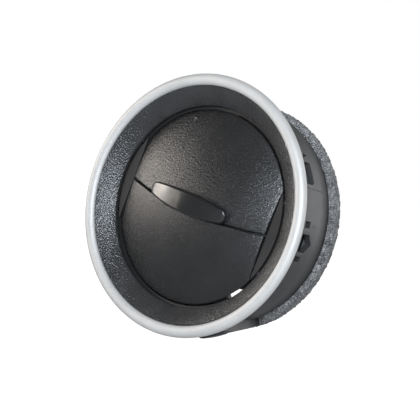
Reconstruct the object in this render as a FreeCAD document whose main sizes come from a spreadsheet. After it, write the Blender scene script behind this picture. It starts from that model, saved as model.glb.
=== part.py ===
import FreeCAD, Part
import os
import re
import Sketcher

# Round dashboard air vent, in millimetres.
# The vent's axis is Y, its face looks along -Y and +Z is up. The origin lies on the axis, in the plane of
# the flange's back face, which is the face that seats on the dashboard panel.
# Angles about the axis are counted from +X towards +Z.

Vector = FreeCAD.Vector
Rotation = FreeCAD.Rotation
Placement = FreeCAD.Placement

# Driving dimensions

SIZES = {
    # satin ring round the face
    "ring_radius": 45.0,
    "ring_width": 4.0,
    "ring_edge_ahead": 2.5,
    "ring_crown_ahead": 4.1,
    "ring_crown_inset": 1.9,
    "ring_lip_ahead": 3.2,
    "ring_back_inset": 0.5,
    "ring_groove_depth": 1.4,
    "ring_wall": 1.1,
    # black funnel with the flange that seats on the panel
    "flange_inset": 1.0,
    "flange_thickness": 1.2,
    "rebate_depth": 0.4,
    "rebate_gap": 0.3,
    "funnel_gap": 0.12,
    "funnel_lip_ahead": 2.9,
    "funnel_bow_radius": 22.0,
    "throat_cover": 1.2,
    "throat_wall": 1.4,
    "skirt_clearance": 0.2,
    "skirt_thickness": 1.1,
    "skirt_reach": 2.45,
    "arm_width": 6.6,
    "arm_root": 0.5,
    "arm_side_gap": 0.15,
    "arm_catch_gap": 0.15,
    "arm_hook_height": 1.6,
    "arm_hook_land": 0.96,
    "arm_hook_length": 3.2,
    # housing barrel, shoulder, collar and duct spigot
    "barrel_inset": 5.5,
    "barrel_wall": 1.8,
    "barrel_length": 15.5,
    "shoulder_length": 9.8,
    "shoulder_drop": 1.5,
    "collar_drop": 3.1,
    "collar_wall": 2.3,
    "spigot_step": 1.1,
    "spigot_gap": 0.2,
    "spigot_length": 3.4,
    # panel clips, ramps on the barrel with a hook behind the flange
    "clip_angle_lower": 302.0,
    "clip_angle_upper": 108.0,
    "clip_width": 11.0,
    "clip_corner": 1.2,
    "clip_height": 5.4,
    "clip_grip": 2.1,
    "clip_land": 2.0,
    "clip_shoulder_height": 4.8,
    "clip_shoulder_run": 1.4,
    "clip_tail_height": 1.4,
    "clip_tail_gap": 0.8,
    "clip_tongue": 2.2,
    "clip_root": 14.0,
    # windows in the barrel
    "window_angle": 37.7,
    "window_step": 120.0,
    "window_width": 8.0,
    "window_setback": 0.8,
    "window_length": 7.0,
    "window_corner": 1.6,
    "wedge_hole_angle": 47.0,
    "wedge_hole_front": 9.8,
    "wedge_hole_length": 3.1,
    "wedge_hole_width": 2.2,
    "gable_angle": 3.0,
    "gable_width": 6.3,
    "gable_front": 7.2,
    "gable_side": 4.1,
    "gable_apex": 2.9,
    "gable_rim": 0.7,
    "gable_rim_height": 0.35,
    "gable_rim_root": 0.8,
    "notch_front": 8.1,
    "notch_length": 3.2,
    "upper_notch_angle": 12.2,
    "upper_notch_width": 2.3,
    "lower_notch_angle": 355.0,
    "lower_notch_width": 1.8,
    # foam gasket bonded round the rear collar
    "foam_gap": 0.3,
    "foam_shoulder_gap": 0.3,
    "foam_thickness": 3.5,
    "foam_length": 4.8,
    "foam_round": 1.5,
    # turning carrier
    "carrier_clearance": 0.5,
    "carrier_wall": 1.3,
    "carrier_root": 0.3,
    "carrier_front_gap": 0.45,
    "carrier_length": 14.8,
    "carrier_rear_gap": 0.7,
    "carrier_lip_width": 0.6,
    "carrier_lip": 1.2,
    "carrier_foot": 1.5,
    "carrier_foot_gap": 0.5,
    "cheek_step": 0.4,
    "cheek_ahead": 1.4,
    "cheek_gap": 0.55,
    "cheek_thickness": 1.95,
    "cheek_length": 9.1,
    "seat_overlap": 0.9,
    "seat_setback": 3.85,
    "seat_thickness": 1.15,
    "seat_below": 5.5,
    "seat_break_angle": 47.0,
    "seat_break_width": 14.0,
    # flaps
    "flap_gap": 0.5,
    "flap_side_cut": 4.1,
    "flap_depth": 3.5,
    "flap_skin": 2.0,
    "flap_rim_wall": 1.2,
    "dome_radius": 92.0,
    "flap_edge_depth": 2.856,
    "parting_height": 0.2,
    "parting_gap": 0.5,
    "parting_bow": 2.6,
    "lap_root": 1.2,
    "lap_reach": 1.6,
    "lap_gap": 0.35,
    "lap_side_gap": 0.4,
    "lap_end_gap": 0.6,
    "pivot_behind": 1.645,
    "pivot_drop": 3.559,
    "boss_radius": 3.0,
    "boss_length": 2.5,
    "relief_angle": 41.0,
    "relief_width": 6.0,
    "relief_depth": 0.3,
    "relief_slope": 23.7,
    "relief_notch_depth": 0.9,
    # pivot pins, sleeves and stop pads
    "pin_radius": 1.2,
    "pin_fit": 0.05,
    "pin_press": 0.02,
    "sleeve_thickness": 0.75,
    "pad_gap": 0.025,
    "pad_thickness": 0.6,
    "pad_width": 3.0,
    "pad_height": 1.3,
    "pad_angle_near": 82.0,
    "pad_angle_far": 64.0,
    # link between the flaps
    "stud_behind": 5.245,
    "ear_inset": 7.5,
    "ear_foot_low": 2.5,
    "ear_foot_gap": 2.4,
    "crank_radius": 2.3,
    "link_place": 14.0,
    "link_thickness": 1.4,
    "link_width": 3.4,
    "link_gap": 0.2,
    "ear_thickness": 1.6,
    "stud_radius": 1.15,
    "stud_head_radius": 1.6,
    "stud_head": 0.6,
    # finger tab
    "tab_half_length": 16.3,
    "tab_end_chamfer": 1.1,
    "tab_top": 2.8,
    "tab_top_bow": 1.1,
    "tab_bottom": 1.7,
    "tab_bottom_bow": 1.6,
    "tab_height": 4.14,
    "tab_face_radius": 44.0,
    "tab_gap": 0.3,
    "tab_leg_half_length": 9.0,
    "tab_leg_bottom": 0.2,
    "tab_leg_top": 2.0,
    "tab_leg_root": 2.0,
    "tab_leg_reach": 5.0,
    "tab_slot_gap": 0.12,
    # felt brake ring
    "felt_foot_gap": 0.3,
    "felt_length": 1.9,
    "felt_thickness": 1.3,
    "felt_gap": 0.1,
}

# Sizes that follow from the driving ones, so that neighbouring pieces keep fitting

FOLLOWING = {
    "ring_bore_radius": "ring_radius - ring_width",
    "ring_crown_radius": "ring_radius - ring_crown_inset",
    "ring_back_radius": "ring_radius - ring_back_inset",
    "flange_radius": "ring_radius - flange_inset",
    "barrel_radius": "ring_radius - barrel_inset",
    "barrel_bore": "barrel_radius - barrel_wall",
    "skirt_radius": "barrel_bore - skirt_clearance",
    "skirt_bore": "skirt_radius - skirt_thickness",
    "carrier_radius": "skirt_bore - carrier_clearance",
    "carrier_bore": "carrier_radius - carrier_wall",
    "carrier_lip_radius": "carrier_bore - carrier_lip_width",
    "carrier_front": "seat_front - seat_setback",
    "carrier_rear": "carrier_front + carrier_length",
    "cheek_radius": "carrier_lip_radius - cheek_step",
    "cheek_front": "carrier_front - cheek_ahead",
    "cheek_rear": "carrier_front + cheek_length",
    "throat_radius": "carrier_radius - throat_cover",
    "throat_rear": "carrier_front - carrier_front_gap",
    "throat_depth": "throat_rear - throat_wall",
    "skirt_length": "throat_rear + skirt_reach",
    "window_front": "skirt_length + window_setback",
    "flap_radius": "carrier_lip_radius - flap_gap",
    "flap_half_width": "flap_radius - flap_side_cut",
    "flap_corner": "sqrt(flap_radius ^ 2 - flap_half_width ^ 2)",
    "dome_ahead": "dome_radius - sqrt(dome_radius ^ 2 - flap_radius ^ 2) - flap_edge_depth",
    "tab_ahead": "dome_ahead + tab_height",
    "flap_rim_back": "dome_radius - dome_ahead - sqrt((dome_radius - flap_depth) ^ 2 - flap_radius ^ 2)",
    "pivot_height": "flap_corner - pivot_drop",
    "pivot_depth": "flap_edge_depth + pivot_behind",
    "stud_depth": "flap_edge_depth + stud_behind",
    "crank_up": "flap_radius - ear_inset - pivot_height",
    "relief_radius": "flap_radius - relief_depth",
    "seat_radius": "flap_radius - seat_overlap",
    "seat_front": "flap_rim_back + pad_gap + pad_thickness",
    "seat_drop": "pivot_height + seat_below",
    "shoulder_end": "barrel_length + shoulder_length",
    "shoulder_radius": "barrel_radius - shoulder_drop",
    "collar_radius": "barrel_radius - collar_drop",
    "collar_bore": "collar_radius - collar_wall",
    "foam_radius": "collar_radius + foam_gap + foam_thickness",
    "foam_front": "shoulder_end + foam_shoulder_gap",
    "foam_rear": "foam_front + foam_length",
    "spigot_radius": "collar_radius - spigot_step",
    "spigot_start": "foam_rear + spigot_gap",
    "housing_depth": "spigot_start + spigot_length",
    "clip_radius": "barrel_radius + clip_height",
    "clip_shoulder_radius": "barrel_radius + clip_shoulder_height",
    "clip_tail_radius": "barrel_radius + clip_tail_height",
}

doc = FreeCAD.newDocument("AirVent")
sheet = doc.addObject("Spreadsheet::Sheet", "Sizes")
for row, (alias, size) in enumerate(SIZES.items(), start=1):
    sheet.set("A%d" % row, alias)
    sheet.set("B%d" % row, str(size))
    sheet.setAlias("B%d" % row, alias)
doc.recompute()



def words(names):
    """Pattern that finds any of the names as a whole word."""
    return re.compile(r"\b(" + "|".join(sorted(names, key=len, reverse=True)) + r")\b")


ALIAS = words(SIZES)
FOLLOWER = words(FOLLOWING)
AXIS_TURN = Vector(0, -1, 0)
FAR = 200.0


# Helpers

def sized(text):
    """Writes out the following sizes of an expression, and the sheet's name before each driving one."""
    while FOLLOWER.search(text):
        text = FOLLOWER.sub(lambda found: "(%s)" % FOLLOWING[found[1]], text)
    return ALIAS.sub(r"Sizes.\1", text)


def number(text):
    """Value of an expression in the sheet's sizes."""
    return float(sheet.evalExpression(sized(text)))


def bind(item, **expressions):
    """Binds properties of an object to expressions."""
    for name, text in expressions.items():
        item.setExpression(name, sized(text))
    return item


def move(item, x="0", y="0", z="0"):
    """Binds an object's position to expressions."""
    item.setExpression("Placement.Base.x", sized(x))
    item.setExpression("Placement.Base.y", sized(y))
    item.setExpression("Placement.Base.z", sized(z))
    return item


def turn(item, angle):
    """Turns an object about the vent's axis by an angle counted from +X towards +Z."""
    item.Placement = Placement(Vector(), Rotation(AXIS_TURN, number(angle)))
    item.setExpression("Placement.Rotation.Angle", sized(angle))
    return item


def turn_held(item, angle):
    """Turns an object that already has a place of its own, by a compound that holds it."""
    holder = doc.addObject("Part::Compound", item.Name + "Held")
    holder.Links = [item]
    return turn(holder, angle)


def fill_sketch(sketch, corners, arcs):
    """Draws a closed outline through corners and binds them.

    Arcs maps an edge's index to its radius and the side that it bulges to, 1 for the left of the way.
    """
    points = [Vector(number(x), number(y), 0) for x, y in corners]
    count = len(points)
    for index in range(count):
        start = points[index]
        end = points[(index + 1) % count]
        if index in arcs:
            radius = number(arcs[index][0])
            chord = end.sub(start)
            half = chord.Length / 2
            rise = radius - (radius * radius - half * half) ** 0.5
            side = Vector(-chord.y, chord.x, 0).normalize() * (arcs[index][1] * rise)
            middle = (start + end) * 0.5 + side
            sketch.addGeometry(Part.Arc(start, middle, end), False)
        else:
            sketch.addGeometry(Part.LineSegment(start, end), False)
    ends = []
    for index in range(count):
        bulges_left = index in arcs and arcs[index][1] > 0
        ends.append((2, 1) if bulges_left else (1, 2))
    for index in range(count):
        following = (index + 1) % count
        pair = (index, ends[index][1], following, ends[following][0])
        sketch.addConstraint(Sketcher.Constraint("Coincident", *pair))
    for index, (x, y) in enumerate(corners):
        corner = (-1, 1, index, ends[index][0])
        for kind, text, value in (("DistanceX", x, points[index].x), ("DistanceY", y, points[index].y)):
            place = sketch.addConstraint(Sketcher.Constraint(kind, *corner, value))
            sketch.setExpression("Constraints[%d]" % place, sized(text))
    for index, (radius, side) in arcs.items():
        place = sketch.addConstraint(Sketcher.Constraint("Radius", index, number(radius)))
        sketch.setExpression("Constraints[%d]" % place, sized(radius))


def turned_body(name, corners, arcs=None):
    """Solid of revolution about the vent's axis. A corner is its radius and its place along Y."""
    body = doc.addObject("PartDesign::Body", name)
    sketch = body.newObject("Sketcher::SketchObject", name + "Section")
    plane = [item for item in body.Origin.OriginFeatures if item.Role == "XY_Plane"][0]
    sketch.AttachmentSupport = [(plane, "")]
    sketch.MapMode = "FlatFace"
    fill_sketch(sketch, corners, arcs or {})
    doc.recompute()
    feature = body.newObject("PartDesign::Revolution", name + "Turned")
    feature.Profile = sketch
    feature.ReferenceAxis = (sketch, ["V_Axis"])
    feature.Angle = 360.0
    doc.recompute()
    return body


PLANES = {
    "XY": Rotation(),
    "XZ": Rotation(Vector(1, 0, 0), 90),
    "YZ": Rotation(Vector(1, 1, 1), 120),
}


def prism(name, plane, corners, start, length, arcs=None):
    """Outline drawn in a plane and extruded. Start and length lie along +Z, -Y or +X of the plane."""
    sketch = doc.addObject("Sketcher::SketchObject", name + "Outline")
    sketch.Placement = Placement(Vector(), PLANES[plane])
    fill_sketch(sketch, corners, arcs or {})
    solid = doc.addObject("Part::Extrusion", name)
    solid.Base = sketch
    solid.DirMode = "Normal"
    solid.Solid = True
    bind(solid, LengthFwd="(%s) + (%s)" % (start, length), LengthRev="-(%s)" % start)
    return solid


def rod(name, radius, length, axis, x="0", y="0", z="0"):
    """Cylinder along +X or +Y from a given place."""
    solid = doc.addObject("Part::Cylinder", name)
    rotations = {"X": Rotation(Vector(0, 1, 0), 90), "Y": Rotation(Vector(1, 0, 0), -90)}
    solid.Placement = Placement(Vector(), rotations[axis])
    bind(solid, Radius=radius, Height=length)
    return move(solid, x, y, z)


def block(name, x, y, z, length, width, height):
    """Box from its lowest corner."""
    solid = doc.addObject("Part::Box", name)
    bind(solid, Length=length, Width=width, Height=height)
    return move(solid, x, y, z)


def ball(name, radius):
    """Sphere about the centre of the flaps' dome."""
    solid = doc.addObject("Part::Sphere", name)
    bind(solid, Radius=radius)
    return move(solid, y="dome_radius - dome_ahead")


def cut(name, base, *tools):
    """Base less its tools."""
    tool = tools[0] if len(tools) == 1 else fuse(name + "Tools", *tools)
    result = doc.addObject("Part::Cut", name)
    result.Base = base
    result.Tool = tool
    return result


def common(name, first, second):
    """What two solids share."""
    result = doc.addObject("Part::Common", name)
    result.Base = first
    result.Tool = second
    return result


def fuse(name, *parts):
    """Several solids joined."""
    result = doc.addObject("Part::MultiFuse", name)
    result.Shapes = list(parts)
    result.Refine = True
    return result


def tube(name, inner, outer, start, length):
    """Plain ring about the vent's axis."""
    return cut(name, rod(name + "Outside", outer, length, "Y", y=start),
               rod(name + "Bore", inner, "(%s) + 2" % length, "Y", y="(%s) - 1" % start))


pieces = {}


# Trim ring: domed in front, hollow behind, with the back seated on the flange

def make_trim_ring():
    back = "-flange_thickness"
    groove = "-flange_thickness - ring_groove_depth"
    corners = [
        ("ring_bore_radius", back),
        ("ring_bore_radius + ring_wall", back),
        ("ring_bore_radius + ring_wall", groove),
        ("ring_back_radius - ring_wall", groove),
        ("ring_back_radius - ring_wall", back),
        ("ring_back_radius", back),
        ("ring_radius", "-ring_edge_ahead"),
        ("ring_crown_radius", "-ring_crown_ahead"),
        ("ring_bore_radius", "-ring_lip_ahead"),
    ]
    arcs = {6: ("(ring_radius - ring_bore_radius) * 0.6", 1), 7: ("(ring_radius - ring_bore_radius) * 0.8", 1)}
    return turned_body("TrimRing", corners, arcs)


# Bezel: funnel, flange and rear skirt in one moulding, with three snap arms

def make_bezel():
    lip = "(ring_bore_radius - funnel_gap)"
    corners = [
        (lip, "-funnel_lip_ahead"),
        ("throat_radius", "throat_depth"),
        ("throat_radius", "throat_rear"),
        ("skirt_bore", "throat_rear"),
        ("skirt_bore", "skirt_length"),
        ("skirt_radius", "skirt_length"),
        ("skirt_radius", "-rebate_depth"),
        ("barrel_radius + rebate_gap", "-rebate_depth"),
        ("barrel_radius + rebate_gap", "0"),
        ("flange_radius", "0"),
        ("flange_radius", "-flange_thickness"),
        (lip, "-flange_thickness"),
    ]
    turned = turned_body("BezelTurned", corners, {0: ("funnel_bow_radius", 1)})
    parts = [turned]
    side = "skirt_radius - arm_side_gap"
    tip = "skirt_radius + arm_hook_height"
    catch = "window_front + arm_catch_gap"
    outline = [
        ("skirt_bore", "skirt_length - arm_root"),
        (side, "skirt_length - arm_root"),
        (side, catch),
        (tip, catch),
        (tip, catch + " + arm_hook_land"),
        (side, catch + " + arm_hook_length"),
        ("skirt_bore", catch + " + arm_hook_length"),
    ]
    for index in range(3):
        arm = prism("BezelArm%d" % index, "XY", outline, "-arm_width / 2", "arm_width")
        parts.append(turn(arm, "window_angle + %d * window_step" % index))
    return fuse("Bezel", *parts)


# Housing: barrel, rounded shoulder, rear collar and spigot, with panel clips and windows

def make_housing():
    corners = [
        ("barrel_bore", "-rebate_depth"),
        ("barrel_radius", "-rebate_depth"),
        ("barrel_radius", "barrel_length"),
        ("shoulder_radius", "shoulder_end"),
        ("collar_radius", "shoulder_end"),
        ("collar_radius", "spigot_start"),
        ("spigot_radius", "spigot_start"),
        ("spigot_radius", "housing_depth"),
        ("collar_bore", "housing_depth"),
        ("collar_bore", "shoulder_end"),
        ("barrel_bore", "carrier_rear + carrier_rear_gap"),
    ]
    bow = "(shoulder_length ^ 2 + shoulder_drop ^ 2) / (2 * shoulder_drop)"
    parts = [turned_body("HousingTurned", corners, {2: (bow, -1)})]
    shoulder = "clip_grip + clip_land + clip_shoulder_run"
    corners = [
        ("clip_radius - clip_tongue", "clip_grip"),
        ("clip_radius", "clip_grip"),
        ("clip_radius", "clip_grip + clip_land"),
        ("clip_shoulder_radius", shoulder),
        ("clip_tail_radius", "foam_front - clip_tail_gap"),
        ("shoulder_radius - barrel_wall / 2", "foam_front - clip_tail_gap"),
        ("barrel_radius - barrel_wall / 2", "clip_root"),
        ("clip_shoulder_radius - clip_tongue", shoulder),
    ]
    half = "clip_width / 2"
    sector = [
        ("barrel_bore / 2", "-" + half),
        ("clip_radius - clip_corner", "-" + half),
        ("clip_radius + 1", "clip_corner + 1 - " + half),
        ("clip_radius + 1", half + " - clip_corner - 1"),
        ("clip_radius - clip_corner", half),
        ("barrel_bore / 2", half),
    ]
    for name in ("Lower", "Upper"):
        clip_ring = turned_body("ClipRing" + name, corners)
        slice_of = prism("ClipSector" + name, "XZ", sector, "-40", "60")
        parts.append(common("PanelClip" + name, clip_ring, turn_held(slice_of, "clip_angle_" + name.lower())))
    for index in range(2):
        rim = gable("GableRim%d" % index, "gable_rim", "barrel_radius - gable_rim_root",
                    "gable_rim_root + gable_rim_height")
        parts.append(turn(rim, "gable_angle + %d * 180" % index))
    solid = fuse("HousingSolid", *parts)
    inside = "barrel_bore - 1"
    through = "barrel_wall + 4"
    holes = []
    for index in range(3):
        outline = [
            ("window_front", "-window_width / 2"),
            ("window_front + window_length - window_corner", "-window_width / 2"),
            ("window_front + window_length", "window_corner - window_width / 2"),
            ("window_front + window_length", "window_width / 2"),
            ("window_front", "window_width / 2"),
        ]
        spin = " + %d * window_step" % index
        hole = prism("Window%d" % index, "YZ", outline, inside, through, {1: ("window_corner", -1)})
        holes.append(turn(hole, "window_angle" + spin))
        outline = [
            ("wedge_hole_front", "-wedge_hole_width / 2"),
            ("wedge_hole_front + wedge_hole_length", "wedge_hole_width / 5"),
            ("wedge_hole_front + wedge_hole_length * 0.4", "wedge_hole_width / 2"),
        ]
        hole = prism("WedgeHole%d" % index, "YZ", outline, inside, through)
        holes.append(turn(hole, "wedge_hole_angle" + spin))
    for index in range(2):
        spin = " + %d * 180" % index
        holes.append(turn(gable("Gable%d" % index, "0", inside, through), "gable_angle" + spin))
        for name in ("upper", "lower"):
            half = "%s_notch_width / 2" % name
            outline = [
                ("notch_front", "-" + half),
                ("notch_front + notch_length", "-" + half),
                ("notch_front + notch_length", half),
                ("notch_front", half),
            ]
            hole = prism("%sNotch%d" % (name.title(), index), "YZ", outline, inside, through)
            holes.append(turn(hole, "%s_notch_angle" % name + spin))
    return cut("Housing", solid, *holes)


def gable(name, grow, start, length):
    """Five-sided prism with its point to the rear, grown on every side."""
    half = "(gable_width / 2 + %s)" % grow
    outline = [
        ("gable_front - %s" % grow, "-" + half),
        ("gable_front + gable_side", "-" + half),
        ("gable_front + gable_side + gable_apex + %s" % grow, "0"),
        ("gable_front + gable_side", half),
        ("gable_front - %s" % grow, half),
    ]
    return prism(name, "YZ", outline, start, length)


# Foam gasket: a ring with rounded outer corners

def make_foam():
    inner = "collar_radius + foam_gap"
    corners = [
        (inner, "foam_front"),
        ("foam_radius - foam_round", "foam_front"),
        ("foam_radius", "foam_front + foam_round"),
        ("foam_radius", "foam_rear - foam_round"),
        ("foam_radius - foam_round", "foam_rear"),
        (inner, "foam_rear"),
    ]
    return turned_body("FoamSeal", corners, {1: ("foam_round", -1), 3: ("foam_round", -1)})


# Felt brake ring, bonded inside the barrel and dragging on the carrier

def make_felt():
    outer = "barrel_bore - felt_gap"
    front = "carrier_rear - carrier_foot - felt_foot_gap - felt_length"
    return tube("FeltRing", outer + " - felt_thickness", outer, front, "felt_length")


# Carrier: open drum with two flat cheeks that hold the flaps

def make_carrier():
    drum = tube("CarrierDrum", "carrier_bore", "carrier_radius", "carrier_front", "carrier_length")
    lip = tube("CarrierLip", "carrier_lip_radius", "carrier_bore + carrier_root", "carrier_front", "carrier_lip")
    foot = tube("CarrierFoot", "carrier_bore + carrier_root", "barrel_bore - carrier_foot_gap",
                "carrier_rear - carrier_foot", "carrier_foot")
    seat = tube("CarrierSeat", "seat_radius", "carrier_bore + carrier_root", "seat_front", "seat_thickness")
    lower_half = block("SeatHalf", "-%s" % FAR, "seat_front - 1", "-%s" % FAR, "2 * %s" % FAR,
                       "seat_thickness + 2", "%s - seat_drop" % FAR)
    seat = common("CarrierSeatHalf", seat, lower_half)
    break_half = "seat_break_width / 2"
    break_out = [
        ("seat_radius - 2", "seat_front - 1"),
        ("carrier_bore", "seat_front - 1"),
        ("carrier_bore", "seat_front + seat_thickness + 1"),
        ("seat_radius - 2", "seat_front + seat_thickness + 1"),
    ]
    seat_break = prism("SeatBreak", "XY", break_out, "-" + break_half, "seat_break_width")
    seat = cut("CarrierSeatOpen", seat, turn(seat_break, "360 - seat_break_angle"))
    inner_face = "flap_half_width + cheek_gap"
    parts = [drum, lip, foot, seat]
    for name, low in (("Right", inner_face), ("Left", "-(%s) - cheek_thickness" % inner_face)):
        plate = block("CheekPlate" + name, low, "carrier_front", "-%s" % FAR, "cheek_thickness",
                      "cheek_rear - carrier_front", "2 * %s" % FAR)
        round_bar = rod("CheekRound" + name, "carrier_bore + carrier_root", "cheek_rear - carrier_front", "Y",
                        y="carrier_front")
        parts.append(common("Cheek" + name, plate, round_bar))
    for name, low in (("Right", inner_face), ("Left", "-(%s) - 10" % inner_face)):
        for part, radius, start, end in (("Face", "cheek_radius", "cheek_front", "carrier_front + carrier_lip / 2"),
                                         ("Web", "carrier_bore + carrier_root", "carrier_front",
                                          "carrier_front + carrier_lip")):
            span = "(%s) - (%s)" % (end, start)
            side = block("Cheek%sBox%s" % (part, name), low, start, "-%s" % FAR, "10", span, "2 * %s" % FAR)
            disc = rod("Cheek%sDisc%s" % (part, name), radius, span, "Y", y=start)
            parts.append(common("Cheek%s%s" % (part, name), side, disc))
    solid = fuse("CarrierSolid", *parts)
    notch = [
        ("carrier_lip_radius - 1", "carrier_front - 1"),
        ("carrier_lip_radius + relief_notch_depth", "carrier_front - 1"),
        ("carrier_lip_radius + relief_notch_depth", "carrier_front + carrier_lip + 1"),
        ("carrier_lip_radius - 1", "carrier_front + carrier_lip + 1"),
    ]
    notch_block = prism("LipNotch", "XY", notch, "-relief_width / 2", "relief_width")
    holes = [turn(notch_block, "360 - relief_angle")]
    for name, height in (("Upper", "pivot_height"), ("Lower", "-pivot_height")):
        holes.append(rod("CarrierHole" + name, "pin_radius + pin_press", "2 * %s" % FAR, "X",
                         x="-%s" % FAR, y="pivot_depth", z=height))
    return cut("Carrier", solid, *holes)


# Flaps: domed shells with a shallow rim behind, a boss at each pivot and an ear for the link.
# A lap on the lower flap reaches behind the upper flap's edge and closes the gap between them.

PARTING_RADIUS = "((flap_half_width ^ 2 + parting_bow ^ 2) / (2 * parting_bow))"


def parting_band(name, half, low, high):
    """Band that follows the parting curve, extruded through the dome."""
    corners = [("-" + half, low), (half, low), (half, high), ("-" + half, high)]
    return prism(name, "XZ", corners, "-40", "80", {0: (PARTING_RADIUS, -1), 2: (PARTING_RADIUS, 1)})


def flap_outline(name, upper, inset):
    """Outline of a flap seen from the front, drawn in by an inset, and extruded through the dome."""
    half = "(flap_half_width - %s)" % inset
    radius = "(flap_radius - %s)" % inset
    edge = "parting_height %s (parting_gap / 2 + %s)" % ("+" if upper else "-", inset)
    corner = "sqrt(%s ^ 2 - %s ^ 2)" % (radius, half)
    bow = PARTING_RADIUS
    if upper:
        corners = [("-" + half, edge), (half, edge), (half, corner), ("-" + half, corner)]
        arcs = {0: (bow, -1), 2: (radius, -1)}
    else:
        corners = [(half, edge), ("-" + half, edge), ("-" + half, "-" + corner), (half, "-" + corner)]
        arcs = {0: (bow, 1), 2: (radius, -1)}
    return prism(name, "XZ", corners, "-40", "80", arcs)


def make_flap(name, upper):
    sign = "" if upper else "-"
    axis_z = sign + "pivot_height"
    skin = cut(name + "Shell", ball(name + "Outer", "dome_radius"), ball(name + "Back", "dome_radius - flap_depth"))
    body = common(name + "Blank", flap_outline(name + "Prism", upper, "0"), skin)
    hollow = flap_outline(name + "Inset", upper, "flap_rim_wall")
    if upper:
        room = parting_band("LapRoom", "(flap_half_width + 1)", "parting_height - parting_gap",
                            "parting_height - parting_gap / 2 + lap_reach + lap_end_gap")
        hollow = fuse(name + "Open", hollow, room)
    hollow = common(name + "Hollow", hollow, ball(name + "Roof", "dome_radius - flap_skin"))
    parts = [cut(name + "Plate", body, hollow)]
    if not upper:
        edge = "parting_height - parting_gap / 2"
        band = parting_band("LapBand", "(flap_half_width - lap_side_gap)", edge + " - lap_root",
                            edge + " + lap_reach")
        lap_skin = cut("LapSkin", ball("LapFront", "dome_radius - flap_skin - lap_gap"),
                       ball("LapBack", "dome_radius - flap_depth"))
        room = "link_thickness + 2 * link_gap + stud_head + lap_side_gap"
        link_room = block("LapLinkRoom", "link_gap - link_place - (%s)" % room, "-40", edge, room, "80", "20")
        parts.append(cut("Lap", common("LapCurved", band, lap_skin), link_room))
    bosses = []
    for side, start in (("Right", "flap_half_width - boss_length"), ("Left", "-flap_half_width")):
        bosses.append(rod(name + "Boss" + side, "boss_radius", "boss_length", "X",
                          x=start, y="pivot_depth", z=axis_z))
    trimmed = common(name + "Bosses", fuse(name + "BossPair", *bosses), ball(name + "BossLimit", "dome_radius - 0.4"))
    parts.append(trimmed)
    pin_y = "stud_depth"
    pin_z = "%s + crank_up" % axis_z
    ear_x = "-link_place + link_gap"
    disc = rod(name + "EarDisc", "crank_radius", "ear_thickness", "X", x=ear_x, y=pin_y, z=pin_z)
    if upper:
        arm = [
            ("-dome_ahead", "%s - crank_radius" % pin_z),
            (pin_y, "%s - crank_radius" % pin_z),
            (pin_y, "%s + crank_radius" % pin_z),
            ("-dome_ahead", "%s + crank_radius" % pin_z),
        ]
    else:
        arm = [
            ("-dome_ahead", "ear_foot_low - pivot_height"),
            ("%s + crank_radius * 0.7" % pin_y, "%s - crank_radius * 0.7" % pin_z),
            ("%s - crank_radius * 0.7" % pin_y, "%s + crank_radius * 0.7" % pin_z),
            ("-dome_ahead", "parting_height - parting_bow - ear_foot_gap"),
        ]
    web = prism(name + "EarWeb", "YZ", arm, ear_x, "ear_thickness")
    ear = common(name + "Ear", fuse(name + "EarPair", disc, web), ball(name + "EarLimit", "dome_radius - 1"))
    reach = "link_thickness + 2 * link_gap"
    stud = rod(name + "Stud", "stud_radius", "%s + 0.5" % reach, "X",
               x="-link_place - link_thickness - link_gap", y=pin_y, z=pin_z)
    head = rod(name + "StudHead", "stud_head_radius", "stud_head", "X",
               x="-link_place - link_thickness - link_gap - stud_head", y=pin_y, z=pin_z)
    parts += [ear, stud, head]
    solid = fuse(name + "Solid", *parts)
    right = rod(name + "HoleRight", "pin_radius + pin_fit", "boss_length + 2", "X",
                x="flap_half_width - boss_length - 1", y="pivot_depth", z=axis_z)
    left = rod(name + "HoleLeft", "pin_radius + pin_fit + sleeve_thickness + pin_press", "boss_length + 2", "X",
               x="-flap_half_width - 1", y="pivot_depth", z=axis_z)
    holes = [right, left]
    if upper:
        holes.append(block("TabSlot", "-tab_leg_half_length - tab_slot_gap", "-%s" % FAR,
                           "tab_leg_bottom - tab_slot_gap", "2 * (tab_leg_half_length + tab_slot_gap)",
                           "2 * %s" % FAR, "tab_leg_top - tab_leg_bottom + 2 * tab_slot_gap"))
    else:
        slope = prism("ReliefCut", "YZ", [("-20", "-relief_width / 2"), ("20", "-relief_width / 2"),
                                          ("20", "relief_width / 2"), ("-20", "relief_width / 2")], "0", "20")
        tilted = doc.addObject("Part::Compound", "ReliefTilted")
        tilted.Links = [slope]
        tilted.Placement = Placement(Vector(), Rotation(Vector(0, 0, 1), number("relief_slope")))
        tilted.setExpression("Placement.Rotation.Angle", sized("relief_slope"))
        tilted.setExpression("Placement.Base.x", sized("relief_radius"))
        tilted.setExpression("Placement.Base.y", sized("flap_edge_depth"))
        holes.append(turn_held(tilted, "360 - relief_angle"))
    return cut(name, solid, *holes)


# Pivot pins, pressed into the cheeks

def make_pin(name, right, upper):
    length = "cheek_gap + cheek_thickness + boss_length"
    x = "flap_half_width - boss_length" if right else "-flap_half_width - cheek_gap - cheek_thickness"
    z = "pivot_height" if upper else "-pivot_height"
    return rod(name, "pin_radius", length, "X", x=x, y="pivot_depth", z=z)


# Friction sleeves between the left pins and the flaps' bosses

def make_sleeve(name, upper):
    z = "pivot_height" if upper else "-pivot_height"
    inner = "pin_radius + pin_fit"
    outside = rod(name + "Outside", inner + " + sleeve_thickness", "boss_length", "X",
                  x="-flap_half_width", y="pivot_depth", z=z)
    bore = rod(name + "Bore", inner, "boss_length + 2", "X", x="-flap_half_width - 1", y="pivot_depth", z=z)
    return cut(name, outside, bore)


# Stop pads on the seat ledge, which the lower flap closes on

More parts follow.
